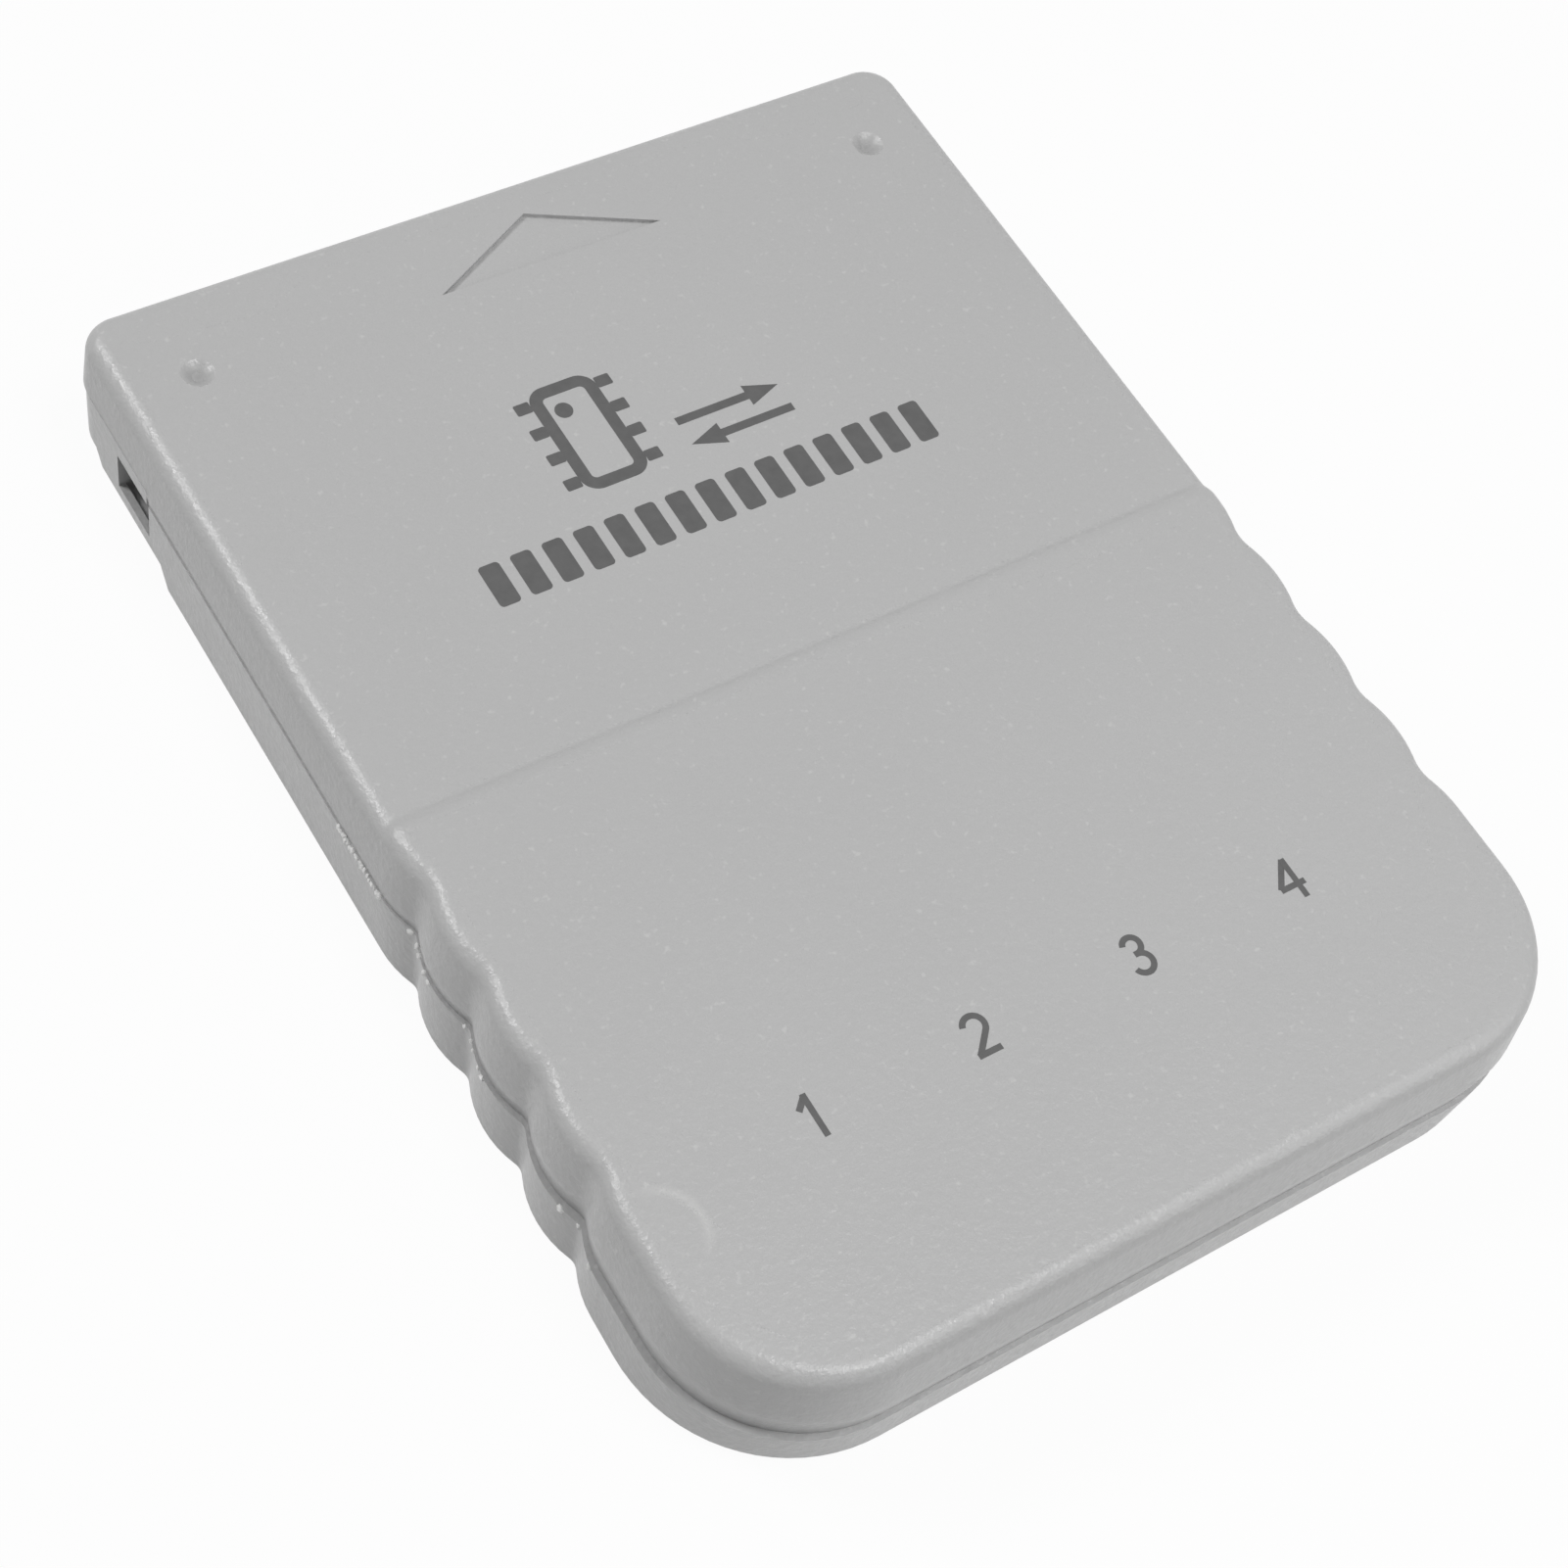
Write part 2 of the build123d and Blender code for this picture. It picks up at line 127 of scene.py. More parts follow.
def colour_property(name, description, code):
    """Colour that a user may change, with its default as a hex code."""
    return FloatVectorProperty(
        name=name, description=description, subtype="COLOR", size=4, min=0, max=1, default=hex_colour(code)
    )


def length_property(name, description, millimetres):
    """Length that a user may change, with its default in millimetres."""
    return FloatProperty(
        name=name, description=description, unit="LENGTH", default=millimetres * MM, precision=5
    )


class CardFinish(PropertyGroup):
    """Colours of the card's materials."""

    shell: colour_property("Shell", "Moulded plastic of both shells", "b5b5b5")
    shell_cloud: colour_property("Shell cloud", "Darker flow clouds in the plastic", "b1b1b1")
    # Painted highlight: glints on the grain peaks and the lit side of the ejector's ring; also a tone of the
    # flash
    shell_glint: colour_property("Shell glint", "Peaks of the moulded grain that catch the light", "cfcfce")
    # Painted shade in the dimples and at the foot of the upper wall over the seam
    shell_painted_shade: colour_property("Shell dust", "Dust held in the dimples", "9a9a9a")
    # Near white, partly as painted highlight for the specks of light along the seam
    flash: colour_property("Flash", "Thin torn plastic in the seam, whitened by stress", "fbfbfa")
    ink: colour_property("Ink", "Pad print on the top face", "4c4c4c")
    ink_thin: colour_property("Thin ink", "Print where the ink lies thin", "5e5e5e")
    mask: colour_property("Solder mask", "Lacquer over the bare laminate", "1d5a33")
    mask_copper: colour_property("Masked copper", "Lacquer over the copper tracks", "2f7d46")
    gold: colour_property("Gold", "Flash of gold on the edge contacts", "e0b869")
    gold_worn: colour_property("Worn gold", "Gold rubbed thin by the springs of a slot", "cfa765")
    epoxy: colour_property("Epoxy", "Body of the flat packs", "29292a")
    epoxy_filler: colour_property("Epoxy filler", "Glassy filler that shows in the epoxy", "3a3a3b")
    tin: colour_property("Tin", "Plating of leads and end caps", "c9c9c6")
    tin_dull: colour_property("Dull tin", "Plating dulled by soldering", "a9a9a5")
    ceramic: colour_property("Ceramic", "Body of the small capacitors and the resonator", "a98760")
    film: colour_property("Resistor film", "Glazed body of the resistors", "232527")
    lens: colour_property("Lens", "Cast resin of the lamps", "efe6cf")
    floor: colour_property("Floor", "Paper that the card lies on", "d8d8d8")
    floor_fibre: colour_property("Floor fibre", "Fibres in the paper", "d2d2d2")


class CardPrint(PropertyGroup):
    """Sizes of the print on the top face."""

    film: length_property("Film", "Thickness of the ink film", 0.01)
    numeral_height: length_property("Numeral height", "Height of the numerals on the grip", 1.96)
    numeral_weight: length_property("Numeral weight", "Width of the pen that draws the numerals", 0.27)
    numeral_y: length_property(
        "Numeral place", "Where the middle of the numerals lies along the card", -18.22
    )
    numeral_start: length_property("First numeral", "Where the first numeral lies across the card", -12.25)
    numeral_pitch: length_property("Numeral pitch", "From one numeral to the next", 7.93)
    gauge_count: IntProperty(
        name="Gauge blocks", description="Blocks in the row of the gauge", default=15, min=1
    )
    gauge_pitch: length_property("Gauge pitch", "From one gauge block to the next", 1.53)
    gauge_block_width: length_property("Gauge block width", "Width of one gauge block", 1.0)
    gauge_block_height: length_property("Gauge block height", "Height of one gauge block", 2.2)
    gauge_x: length_property("Gauge middle", "Where the middle of the gauge lies across the card", -0.25)
    gauge_y: length_property("Gauge place", "Where the middle of the gauge lies along the card", 8.78)
    chip_x: length_property(
        "Chip sign across", "Where the middle of the chip sign lies across the card", -3.5
    )
    chip_y: length_property("Chip sign place", "Where the middle of the chip sign lies along the card", 14.3)
    chip_width: length_property("Chip sign width", "Width of the body in the chip sign", 3.3)
    chip_height: length_property("Chip sign height", "Height of the body in the chip sign", 5.9)
    chip_line: length_property("Chip sign line", "Width of the frame in the chip sign", 0.6)
    chip_pins: IntProperty(
        name="Chip sign pins", description="Pins on each side of the chip sign", default=4, min=1
    )
    chip_pin_length: length_property("Chip sign pin", "Length of one pin in the chip sign", 0.75)
    transfer_x: length_property(
        "Arrows across", "Where the middle of the two arrows lies across the card", 3.0
    )
    transfer_y: length_property(
        "Arrows place", "Where the middle of the two arrows lies along the card", 12.5
    )
    transfer_length: length_property("Arrow length", "Length of one transfer arrow", 5.3)
    transfer_height: length_property("Arrow height", "Height of the head of one transfer arrow", 1.15)
    transfer_gap: length_property("Arrow spacing", "From the middle of one arrow to the other", 1.35)


class CardSeam(PropertyGroup):
    """Course of the seam along the card, and the flash in its left flank."""

    nose_start: length_property("Nose start", "Where the raised seam of the nose starts", 20.74)
    nose_level: length_property("Nose level", "Height of the seam round the nose", 5.1)
    front_level: length_property("Front level", "Height of the seam along the front half", 4.3)
    rear_level: length_property("Rear level", "Height of the seam at the rear", 3.0)
    fall_start: length_property("Fall start", "Where the seam starts to fall along the card", 0.65)
    fall_end: length_property("Fall end", "Where the seam is level again", -18.35)
    gap: length_property("Gap", "Height of the gap between the shells", 0.08)
    flash_length: length_property("Flash length", "Length of a middling sliver of flash", 0.34)
    flash_height: length_property("Flash height", "Height of a middling sliver of flash", 0.28)
    flash_count: IntProperty(
        name="Flash slivers", description="Slivers in the closed run of flash", default=18
    )


class CardStage(PropertyGroup):
    """Camera and light of the small studio."""

    camera_place: FloatVectorProperty(
        name="Camera place",
        description="Where the camera stands",
        subtype="TRANSLATION",
        default=(-55.311 * MM, -50.855 * MM, 111.353 * MM),
    )
    camera_turn: FloatVectorProperty(
        name="Camera turn",
        description="Turn of the camera about the three axes",
        subtype="EULER",
        default=[math.radians(angle) for angle in (31.894, -10.082, -31.760)],
    )
    camera_lens: FloatProperty(
        name="Lens", description="Focal length on a 36 mm sensor", default=69.40, min=1
    )
    key_place: FloatVectorProperty(
        name="Key place",
        description="Where the key lamp hangs, left of the slot end",
        subtype="TRANSLATION",
        default=(-223 * MM, 248 * MM, 372 * MM),
    )
    key_power: FloatProperty(name="Key power", description="Power of the key lamp", default=1.06, min=0)
    key_size: length_property("Key size", "Width of the key lamp", 140.0)
    fill_place: FloatVectorProperty(
        name="Fill place",
        description="Where the soft lamp hangs, right of the grip",
        subtype="TRANSLATION",
        default=(105 * MM, -140 * MM, 110 * MM),
    )
    fill_power: FloatProperty(name="Fill power", description="Power of the soft lamp", default=0.088, min=0)
    fill_size: length_property("Fill size", "Width of the soft lamp", 140.0)
    overhead_place: FloatVectorProperty(
        name="Overhead place",
        description="Where the overhead lamp hangs, for the lights along the rim",
        subtype="TRANSLATION",
        default=(50 * MM, -130 * MM, 370 * MM),
    )
    overhead_power: FloatProperty(
        name="Overhead power", description="Power of the overhead lamp", default=0.62, min=0
    )
    overhead_size: length_property("Overhead size", "Width of the overhead lamp", 120.0)
    sky: FloatProperty(name="Sky", description="Strength of the even light all round", default=0.18, min=0)
    floor_white: FloatProperty(
        name="Floor white",
        description="How far the floor is lifted to white where it is looked at",
        default=0.95,
    )


def settings():
    """The groups of values of the open scene."""
    scene = bpy.context.scene
    return scene.card_finish, scene.card_print, scene.card_seam, scene.card_stage


def add_node(tree, kind, values=None, links=None, **options):
    """Adds one node with its options, the values of its inputs and the links into them."""
    made = tree.nodes.new(kind)
    for name, option in options.items():
        setattr(made, name, option)
    for key, value in (values or {}).items():
        made.inputs[key].default_value = value
    for key, source in (links or {}).items():
        tree.links.new(source, made.inputs[key])
    return made


def start_material(name):
    """Empty node material with the object's own coordinates."""
    material = bpy.data.materials.new(name)
    material.use_nodes = True
    tree = material.node_tree
    tree.nodes.clear()
    place = add_node(tree, "ShaderNodeTexCoord").outputs["Object"]
    return material, tree, place


def close_material(tree, shader):
    """Joins the last shader of a material to its output."""
    add_node(tree, "ShaderNodeOutputMaterial", links={"Surface": shader})


def per_metre(millimetres):
    """Texture scale that gives features of a size in millimetres."""
    return 1 / (millimetres * MM)


def spark_eroded_abs(name, finish, seam, shade):
    """Grey ABS moulded in a spark-eroded tool: matte and even, with a fine grain that glints at the rim.

    The real grain is about 0.1 mm and is drawn three times as coarse, so that it shows in a render.
    An ejector has left a faint ring beside the left rear corner, drawn as a painted highlight on one side.
    The grain's peaks get painted glints. Painted shade darkens the dimples, which are also rougher, and,
    by the share given as shade, the foot of the wall over the seam.
    """
    material, tree, place = start_material(name)
    cloud = add_node(tree, "ShaderNodeTexNoise", {"Scale": per_metre(14.0), "Detail": 2.0}, {"Vector": place})
    grain = add_node(
        tree,
        "ShaderNodeTexNoise",
        {"Scale": per_metre(0.34), "Detail": 3.0, "Roughness": 0.6},
        {"Vector": place},
    )
    peaks = add_node(
        tree,
        "ShaderNodeTexNoise",
        {"Scale": per_metre(0.3), "Detail": 1.0},
        {"Vector": place},
    )
    tint = add_node(
        tree,
        "ShaderNodeMix",
        {6: finish.shell_cloud, 7: finish.shell},
        {0: cloud.outputs["Fac"]},
        data_type="RGBA",
    )
    # Painted highlight: the peaks of the grain are made paler, as glints where they catch the light
    glint = add_node(
        tree,
        "ShaderNodeMapRange",
        {"From Min": 0.66, "From Max": 0.8, "To Min": 0.0, "To Max": 0.35},
        {"Value": peaks.outputs["Fac"]},
    )
    glinted = add_node(
        tree,
        "ShaderNodeMix",
        {7: finish.shell_glint},
        {0: glint.outputs["Result"], 6: tint.outputs[2]},
        data_type="RGBA",
    )

    # Ring left by the ejector, drawn as a painted highlight in the glint colour: nearness to its radius, and
    # only on the side towards the middle of the grip
    ring_middle = add_node(
        tree,
        "ShaderNodeMapping",
        {"Location": (-RING_MIDDLE[0], -RING_MIDDLE[1], -GRIP_TOP)},
        {"Vector": place},
    )
    ring_reach = add_node(
        tree, "ShaderNodeVectorMath", {}, {0: ring_middle.outputs["Vector"]}, operation="LENGTH"
    )
    ring_miss = add_node(
        tree, "ShaderNodeMath", {1: RING_RADIUS}, {0: ring_reach.outputs["Value"]}, operation="SUBTRACT"
    )
    ring_gap = add_node(tree, "ShaderNodeMath", {}, {0: ring_miss.outputs["Value"]}, operation="ABSOLUTE")
    ring_line = add_node(
        tree,
        "ShaderNodeMapRange",
        {"From Min": 0.0, "From Max": 0.3 * MM, "To Min": 0.35, "To Max": 0.0},
        {"Value": ring_gap.outputs["Value"]},
    )
    ring_side = add_node(
        tree,
        "ShaderNodeVectorMath",
        {1: (0.94, 0.34, 0.0)},
        {0: ring_middle.outputs["Vector"]},
        operation="DOT_PRODUCT",
    )
    ring_part = add_node(
        tree,
        "ShaderNodeMapRange",
        {"From Min": 0.5 * MM, "From Max": 1.5 * MM},
        {"Value": ring_side.outputs["Value"]},
    )
    ring = add_node(
        tree,
        "ShaderNodeMath",
        {},
        {0: ring_line.outputs["Result"], 1: ring_part.outputs["Result"]},
        operation="MULTIPLY",
    )
    with_ring_highlight = add_node(
        tree,
        "ShaderNodeMix",
        {7: finish.shell_glint},
        {0: ring.outputs["Value"], 6: glinted.outputs[2]},
        data_type="RGBA",
    )

    # Painted shade in the two dimples, which lie alike to the left and the right of the middle
    axes = add_node(tree, "ShaderNodeSeparateXYZ", {}, {0: place})
    aside = add_node(tree, "ShaderNodeMath", {}, {0: axes.outputs["X"]}, operation="ABSOLUTE")
    folded = add_node(
        tree,
        "ShaderNodeCombineXYZ",
        {},
        {0: aside.outputs["Value"], 1: axes.outputs["Y"], 2: axes.outputs["Z"]},
    )
    dimple_reach = add_node(
        tree,
        "ShaderNodeVectorMath",
        {1: (*DIMPLE_MIDDLE, FRONT_TOP)},
        {0: folded.outputs["Vector"]},
        operation="DISTANCE",
    )
    dimple_shade = add_node(
        tree,
        "ShaderNodeMapRange",
        {"From Min": 0.25 * MM, "From Max": 0.7 * MM, "To Min": 1.0, "To Max": 0.0},
        {"Value": dimple_reach.outputs["Value"]},
    )

    # Painted shade at the foot of the wall over the seam: height above it, which follows its fall along the
    # grip
    seam_height = add_node(
        tree,
        "ShaderNodeMapRange",
        {
            "From Min": seam.fall_start,
            "From Max": seam.fall_end,
            "To Min": seam.front_level,
            "To Max": seam.rear_level,
        },
        {"Value": axes.outputs["Y"]},
    )
    over_seam = add_node(
        tree,
        "ShaderNodeMath",
        {},
        {0: axes.outputs["Z"], 1: seam_height.outputs["Result"]},
        operation="SUBTRACT",
    )
    foot = add_node(
        tree,
        "ShaderNodeMapRange",
        {"From Min": 0.0, "From Max": 0.9 * MM, "To Min": shade, "To Max": 0.0},
        {"Value": over_seam.outputs["Value"]},
    )
    painted_shade_share = add_node(
        tree,
        "ShaderNodeMath",
        {},
        {0: dimple_shade.outputs["Result"], 1: foot.outputs["Result"]},
        operation="MAXIMUM",
    )
    with_painted_shade = add_node(
        tree,
        "ShaderNodeMix",
        {7: finish.shell_painted_shade},
        {0: painted_shade_share.outputs["Value"], 6: with_ring_highlight.outputs[2]},
        data_type="RGBA",
    )
    gloss = add_node(
        tree,
        "ShaderNodeMapRange",
        {"From Min": 0.3, "From Max": 0.7, "To Min": 0.42, "To Max": 0.28},
        {"Value": grain.outputs["Fac"]},
    )
    dulled = add_node(
        tree,
        "ShaderNodeMath",
        {},
        {0: gloss.outputs["Result"], 1: dimple_shade.outputs["Result"]},
        operation="MAXIMUM",
    )
    relief = add_node(
        tree, "ShaderNodeBump", {"Strength": 1.0, "Distance": 0.055 * MM}, {"Height": grain.outputs["Fac"]}
    )
    shader = add_node(
        tree,
        "ShaderNodeBsdfPrincipled",
        {"IOR": 1.53},
        {
            "Base Color": with_painted_shade.outputs[2],
            "Roughness": dulled.outputs["Value"],
            "Normal": relief.outputs["Normal"],
        },
    )
    close_material(tree, shader.outputs["BSDF"])
    return material


def mottled(name, colours, grain_mm, roughness, metallic=0.0, bump_mm=0.0, stretch=(1, 1, 1), ior=1.5):
    """Two tones of one material in a noise of a size in millimetres, with its gloss and relief from it."""
    material, tree, place = start_material(name)
    drawn = add_node(tree, "ShaderNodeMapping", {"Scale": stretch}, {"Vector": place})
    noise = add_node(
        tree,
        "ShaderNodeTexNoise",
        {"Scale": per_metre(grain_mm), "Detail": 3.0},
        {"Vector": drawn.outputs["Vector"]},
    )
    tint = add_node(
        tree,
        "ShaderNodeMix",
        {6: colours[0], 7: colours[1]},
        {0: noise.outputs["Fac"]},
        data_type="RGBA",
    )
    gloss = add_node(
        tree,
        "ShaderNodeMapRange",
        {"From Min": 0.3, "From Max": 0.7, "To Min": roughness[0], "To Max": roughness[1]},
        {"Value": noise.outputs["Fac"]},
    )
    relief = add_node(
        tree, "ShaderNodeBump", {"Strength": 0.5, "Distance": bump_mm * MM}, {"Height": noise.outputs["Fac"]}
    )
    shader = add_node(
        tree,
        "ShaderNodeBsdfPrincipled",
        {"Metallic": metallic, "IOR": ior},
        {
            "Base Color": tint.outputs[2],
            "Roughness": gloss.outputs["Result"],
            "Normal": relief.outputs["Normal"],
        },
    )
    close_material(tree, shader.outputs["BSDF"])
    return material


def pad_print_ink(finish):
    """Pad-printed grey ink: flat, dull and a little uneven, thinner where the pad pressed less."""
    return mottled("pad_print_ink", (finish.ink, finish.ink_thin), 0.5, (0.6, 0.5), bump_mm=0.004)


def torn_flash(finish):
    """Thin torn ABS, whitened by stress and lifted to near white as painted highlight, with a rough broken
    face.
    """
    return mottled("abs_torn_flash", (finish.flash, finish.shell_glint), 0.2, (0.5, 0.3), bump_mm=0.01)


def masked_laminate(finish):
    """Glass laminate under a green solder mask: glossy, with the copper tracks paler and a little raised."""
    material, tree, place = start_material("glass_laminate_solder_mask")
    tracks = add_node(
        tree,
        "ShaderNodeTexBrick",
        {
            "Color1": (0, 0, 0, 1),
            "Color2": (0, 0, 0, 1),
            "Mortar": (1, 1, 1, 1),
            "Scale": per_metre(4.0),
            "Mortar Size": 0.05,
            "Mortar Smooth": 0.2,
            "Brick Width": 1.4,
            "Row Height": 0.25,
        },
        {"Vector": place},
    )
    tint = add_node(
        tree,
        "ShaderNodeMix",
        {6: finish.mask, 7: finish.mask_copper},
        {0: tracks.outputs["Color"]},
        data_type="RGBA",
    )
    weave = add_node(tree, "ShaderNodeTexNoise", {"Scale": per_metre(0.6), "Detail": 2.0}, {"Vector": place})
    gloss = add_node(
        tree, "ShaderNodeMapRange", {"To Min": 0.22, "To Max": 0.36}, {"Value": weave.outputs["Fac"]}
    )
    relief = add_node(
        tree, "ShaderNodeBump", {"Strength": 0.4, "Distance": 0.035 * MM}, {"Height": tracks.outputs["Color"]}
    )
    shader = add_node(
        tree,
        "ShaderNodeBsdfPrincipled",
        {"IOR": 1.54},
        {
            "Base Color": tint.outputs[2],
            "Roughness": gloss.outputs["Result"],
            "Normal": relief.outputs["Normal"],
        },
    )
    close_material(tree, shader.outputs["BSDF"])
    return material


def capped_body(node, name, body_colour, finish, roughness):
    """Body between two soldered end caps: dull or glossy in the middle, tin at the ends."""
    low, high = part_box(node)
    middle = (low + high) / 2
    material, tree, place = start_material(name)
    centred = add_node(tree, "ShaderNodeMapping", {"Location": -middle}, {"Vector": place})
    across = add_node(tree, "ShaderNodeSeparateXYZ", {}, {0: centred.outputs["Vector"]})
    reach = add_node(tree, "ShaderNodeMath", {}, {0: across.outputs["X"]}, operation="ABSOLUTE")
    cap = add_node(
        tree,
        "ShaderNodeMath",
        {1: (high.x - low.x) / 2 - 0.4 * MM},
        {0: reach.outputs["Value"]},
        operation="GREATER_THAN",
    )
    solder = add_node(tree, "ShaderNodeTexNoise", {"Scale": per_metre(0.25), "Detail": 2.0}, {"Vector": place})
    plating = add_node(
        tree,
        "ShaderNodeMix",
        {6: finish.tin_dull, 7: finish.tin},
        {0: solder.outputs["Fac"]},
        data_type="RGBA",
    )
    tint = add_node(
        tree,
        "ShaderNodeMix",
        {6: body_colour},
        {0: cap.outputs["Value"], 7: plating.outputs[2]},
        data_type="RGBA",
    )
    gloss = add_node(
        tree,
        "ShaderNodeMapRange",
        {"To Min": roughness, "To Max": roughness + 0.15},
        {"Value": solder.outputs["Fac"]},
    )
    relief = add_node(
        tree, "ShaderNodeBump", {"Strength": 0.3, "Distance": 0.01 * MM}, {"Height": solder.outputs["Fac"]}
    )
    shader = add_node(
        tree,
        "ShaderNodeBsdfPrincipled",
        {},
        {
            "Base Color": tint.outputs[2],
            "Metallic": cap.outputs["Value"],
            "Roughness": gloss.outputs["Result"],
            "Normal": relief.outputs["Normal"],
        },
    )
    close_material(tree, shader.outputs["BSDF"])
    return material


def looked_at(tree):
    """One for rays that see the background straight, in a mirror or through glass, else nought."""
    rays = add_node(tree, "ShaderNodeLightPath")
    straight = add_node(
        tree,
        "ShaderNodeMath",
        {},
        {0: rays.outputs["Is Camera Ray"], 1: rays.outputs["Is Glossy Ray"]},
        operation="MAXIMUM",
    )
    through = add_node(
        tree,
        "ShaderNodeMath",
        {},
        {0: straight.outputs["Value"], 1: rays.outputs["Is Transmission Ray"]},
        operation="MAXIMUM",
    )
    return through.outputs["Value"]


def pale_paper(finish, white):
    """Matte paper floor: pale grey with faint fibres, lifted to white where it is looked at."""
    material, tree, place = start_material("paper_pale_floor")
    fibre = add_node(tree, "ShaderNodeTexNoise", {"Scale": per_metre(3.0)}, {"Vector": place})
    paper = add_node(
        tree,
        "ShaderNodeMix",
        {6: finish.floor, 7: finish.floor_fibre},
        {0: fibre.outputs["Fac"]},
        data_type="RGBA",
    )
    matte = add_node(
        tree, "ShaderNodeBsdfPrincipled", {"Roughness": 0.9}, {"Base Color": paper.outputs[2]}
    )
    clear = add_node(tree, "ShaderNodeEmission", {"Strength": 1.0})
    share = add_node(tree, "ShaderNodeMath", {1: white}, {0: looked_at(tree)}, operation="MULTIPLY")
    mixed = add_node(
        tree,
        "ShaderNodeMixShader",
        {},
        {0: share.outputs["Value"], 1: matte.outputs["BSDF"], 2: clear.outputs["Emission"]},
    )
    close_material(tree, mixed.outputs["Shader"])
    return material


def new_piece(name, shape, material):
    """Object from a bmesh, with its material, its place in its mesh and its ride on the card."""
    mesh = bpy.data.meshes.new(name)
    shape.to_mesh(mesh)
    shape.free()
    mesh.materials.append(material)
    piece = bpy.data.objects.new(name, mesh)
    bpy.context.scene.collection.objects.link(piece)
    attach(piece, "root")
    return piece


def pen_stroke(shape, start, heading, moves, width, level=0.0):
    """Flat ribbon of one stroke: an edge as wide as the pen, carried along straight runs and turns."""
    angle = math.radians(heading)
    middle = Vector((*start, level))
    across = Vector((-math.sin(angle), math.cos(angle), 0)) * width / 2
    pen = shape.edges.new([shape.verts.new(middle + across), shape.verts.new(middle - across)])
    for move in moves:
        middle = (pen.verts[0].co + pen.verts[1].co) / 2
        aside = Vector((-math.sin(angle), math.cos(angle), 0))
        if len(move) == 1:
            made = bmesh.ops.extrude_edge_only(shape, edges=[pen])["geom"]
            ends = [item for item in made if isinstance(item, bmesh.types.BMVert)]
            run = Vector((math.cos(angle), math.sin(angle), 0)) * move[0]
            bmesh.ops.translate(shape, verts=ends, vec=run)
        else:
            radius, degrees = move
            turned = math.radians(degrees)
            made = bmesh.ops.spin(
                shape,
                geom=[*pen.verts, pen],
                cent=middle + aside * math.copysign(radius, degrees),
                axis=(0, 0, 1),
                angle=turned,
                steps=max(4, round(abs(degrees) / 8)),
            )["geom_last"]
            ends = [item for item in made if isinstance(item, bmesh.types.BMVert)]
            angle += turned
        pen = shape.edges.get(ends)


def lay_print(shape, place, film):
    """Gives flat print its film thickness and lays it on the surface at its place."""
    bmesh.ops.recalc_face_normals(shape, faces=shape.faces)
    raised = bmesh.ops.extrude_face_region(shape, geom=shape.faces[:], use_keep_orig=True)
    tops = [item for item in raised["geom"] if isinstance(item, bmesh.types.BMVert)]
    bmesh.ops.translate(shape, verts=tops, vec=(0, 0, film))
    bmesh.ops.translate(shape, verts=shape.verts, vec=place)
    bmesh.ops.recalc_face_normals(shape, faces=shape.faces)


def rounded_panel(shape, middle, size, corner):
    """Flat rectangle with rounded corners."""
    stretch = Matrix.Diagonal((size[0] / 2, size[1] / 2, 1, 1))
    place = Matrix.Translation((*middle, 0))
    made = bmesh.ops.create_grid(shape, x_segments=1, y_segments=1, size=1, matrix=place @ stretch)
    bmesh.ops.bevel(
        shape, geom=made["verts"], offset=corner, affect="VERTICES", segments=5, profile=0.5, material=-1
    )


def seam_level(seam, y):
    """Height of the seam: raised round the nose, then level, falling along the grip, level again."""
    if y > seam.nose_start:
        return seam.nose_level
    fallen = (y - seam.fall_start) / (seam.fall_end - seam.fall_start)
    return seam.front_level + min(max(fallen, 0), 1) * (seam.rear_level - seam.front_level)


def finish_nodes(names, material):
    """Puts a material on CAD nodes, whose meshes stay as they are."""
    for name in names:
        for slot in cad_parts[name].material_slots:
            slot.material = material


class CARD_OT_shell_skins(Operator):
    """Smooth skins over both moulded shells"""

    bl_idname = "card.shell_skins"
    bl_label = "Shell skins"

    def execute(self, context):
        finish, _, seam, _ = settings()
        # Only the upper shell gets painted shade over the seam
        for node, shade in (("upper_shell", SEAM_PAINTED_SHADE), ("lower_shell", 0.0)):
            material = spark_eroded_abs(f"abs_spark_eroded_{node}", finish, seam, shade)
            finish_nodes([node], material)
            shape = bmesh.new()
            shape.from_mesh(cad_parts[node].data)
            bmesh.ops.remove_doubles(shape, verts=shape.verts, dist=0.0005 * MM)
            if node == "lower_shell":
                # The weld draws the ledge up against the upper shell, so that the seam is a hair line.
                ledge = []
                for vert in shape.verts:
                    if abs(seam_level(seam, vert.co.y) - seam.gap - vert.co.z) < LEDGE_TOLERANCE:
                        ledge.append(vert)
                bmesh.ops.translate(shape, verts=ledge, vec=(0, 0, seam.gap - HAIR_LINE))
            for face in shape.faces:
                face.smooth = True
                face.material_index = 0
            for edge in shape.edges:
                edge.smooth = edge.calc_face_angle(0) < SHARP_ANGLE
            skin = new_piece(f"{node}_skin", shape, material)
            weights = skin.modifiers.new("flat faces stay flat", "WEIGHTED_NORMAL")
            weights.keep_sharp = True
            weights.weight = 100
            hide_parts(node)
        return {"FINISHED"}


